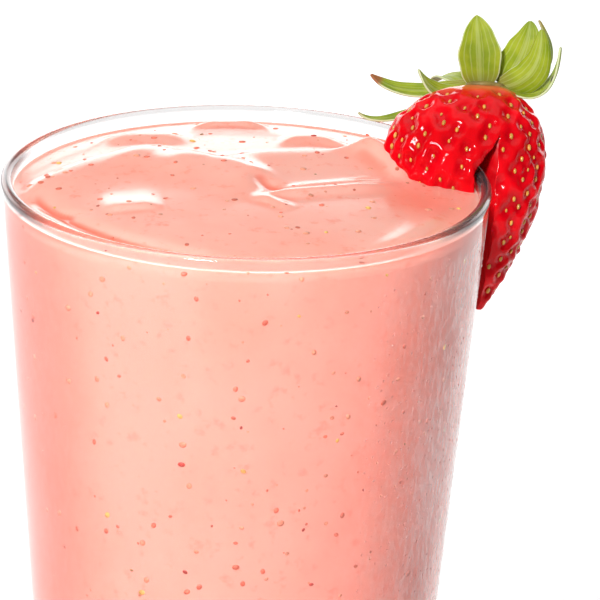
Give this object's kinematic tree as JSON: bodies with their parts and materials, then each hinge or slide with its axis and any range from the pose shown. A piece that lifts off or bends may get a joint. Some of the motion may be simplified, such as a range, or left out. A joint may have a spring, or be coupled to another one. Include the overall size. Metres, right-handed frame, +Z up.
{
  "type": "strawberry smoothie",
  "caption": "Pink fruit smoothie filling a tapered clear tumbler to the lip, its surface folded and swirled, with a fresh slit strawberry astride the rim.",
  "frame": {"origin": "middle of the foot of the glass, on the table", "axes": "+Z up the axis of the glass, -Y toward the viewer, +X to the viewer's right; the strawberry sits on the lip 20 degrees from +X toward +Y"},
  "size_m": [0.1008, 0.088, 0.1719],
  "materials": {
    "glass": "clear, fire-polished",
    "smoothie": "wet thick fruit drink",
    "strawberry": "wet ripe skin",
    "calyx": "fresh leaf"
  },
  "bodies": {
    "root": {"glass": "glass", "smoothie": "smoothie", "strawberry": "strawberry", "calyx": "calyx"}
  },
  "joints": []
}
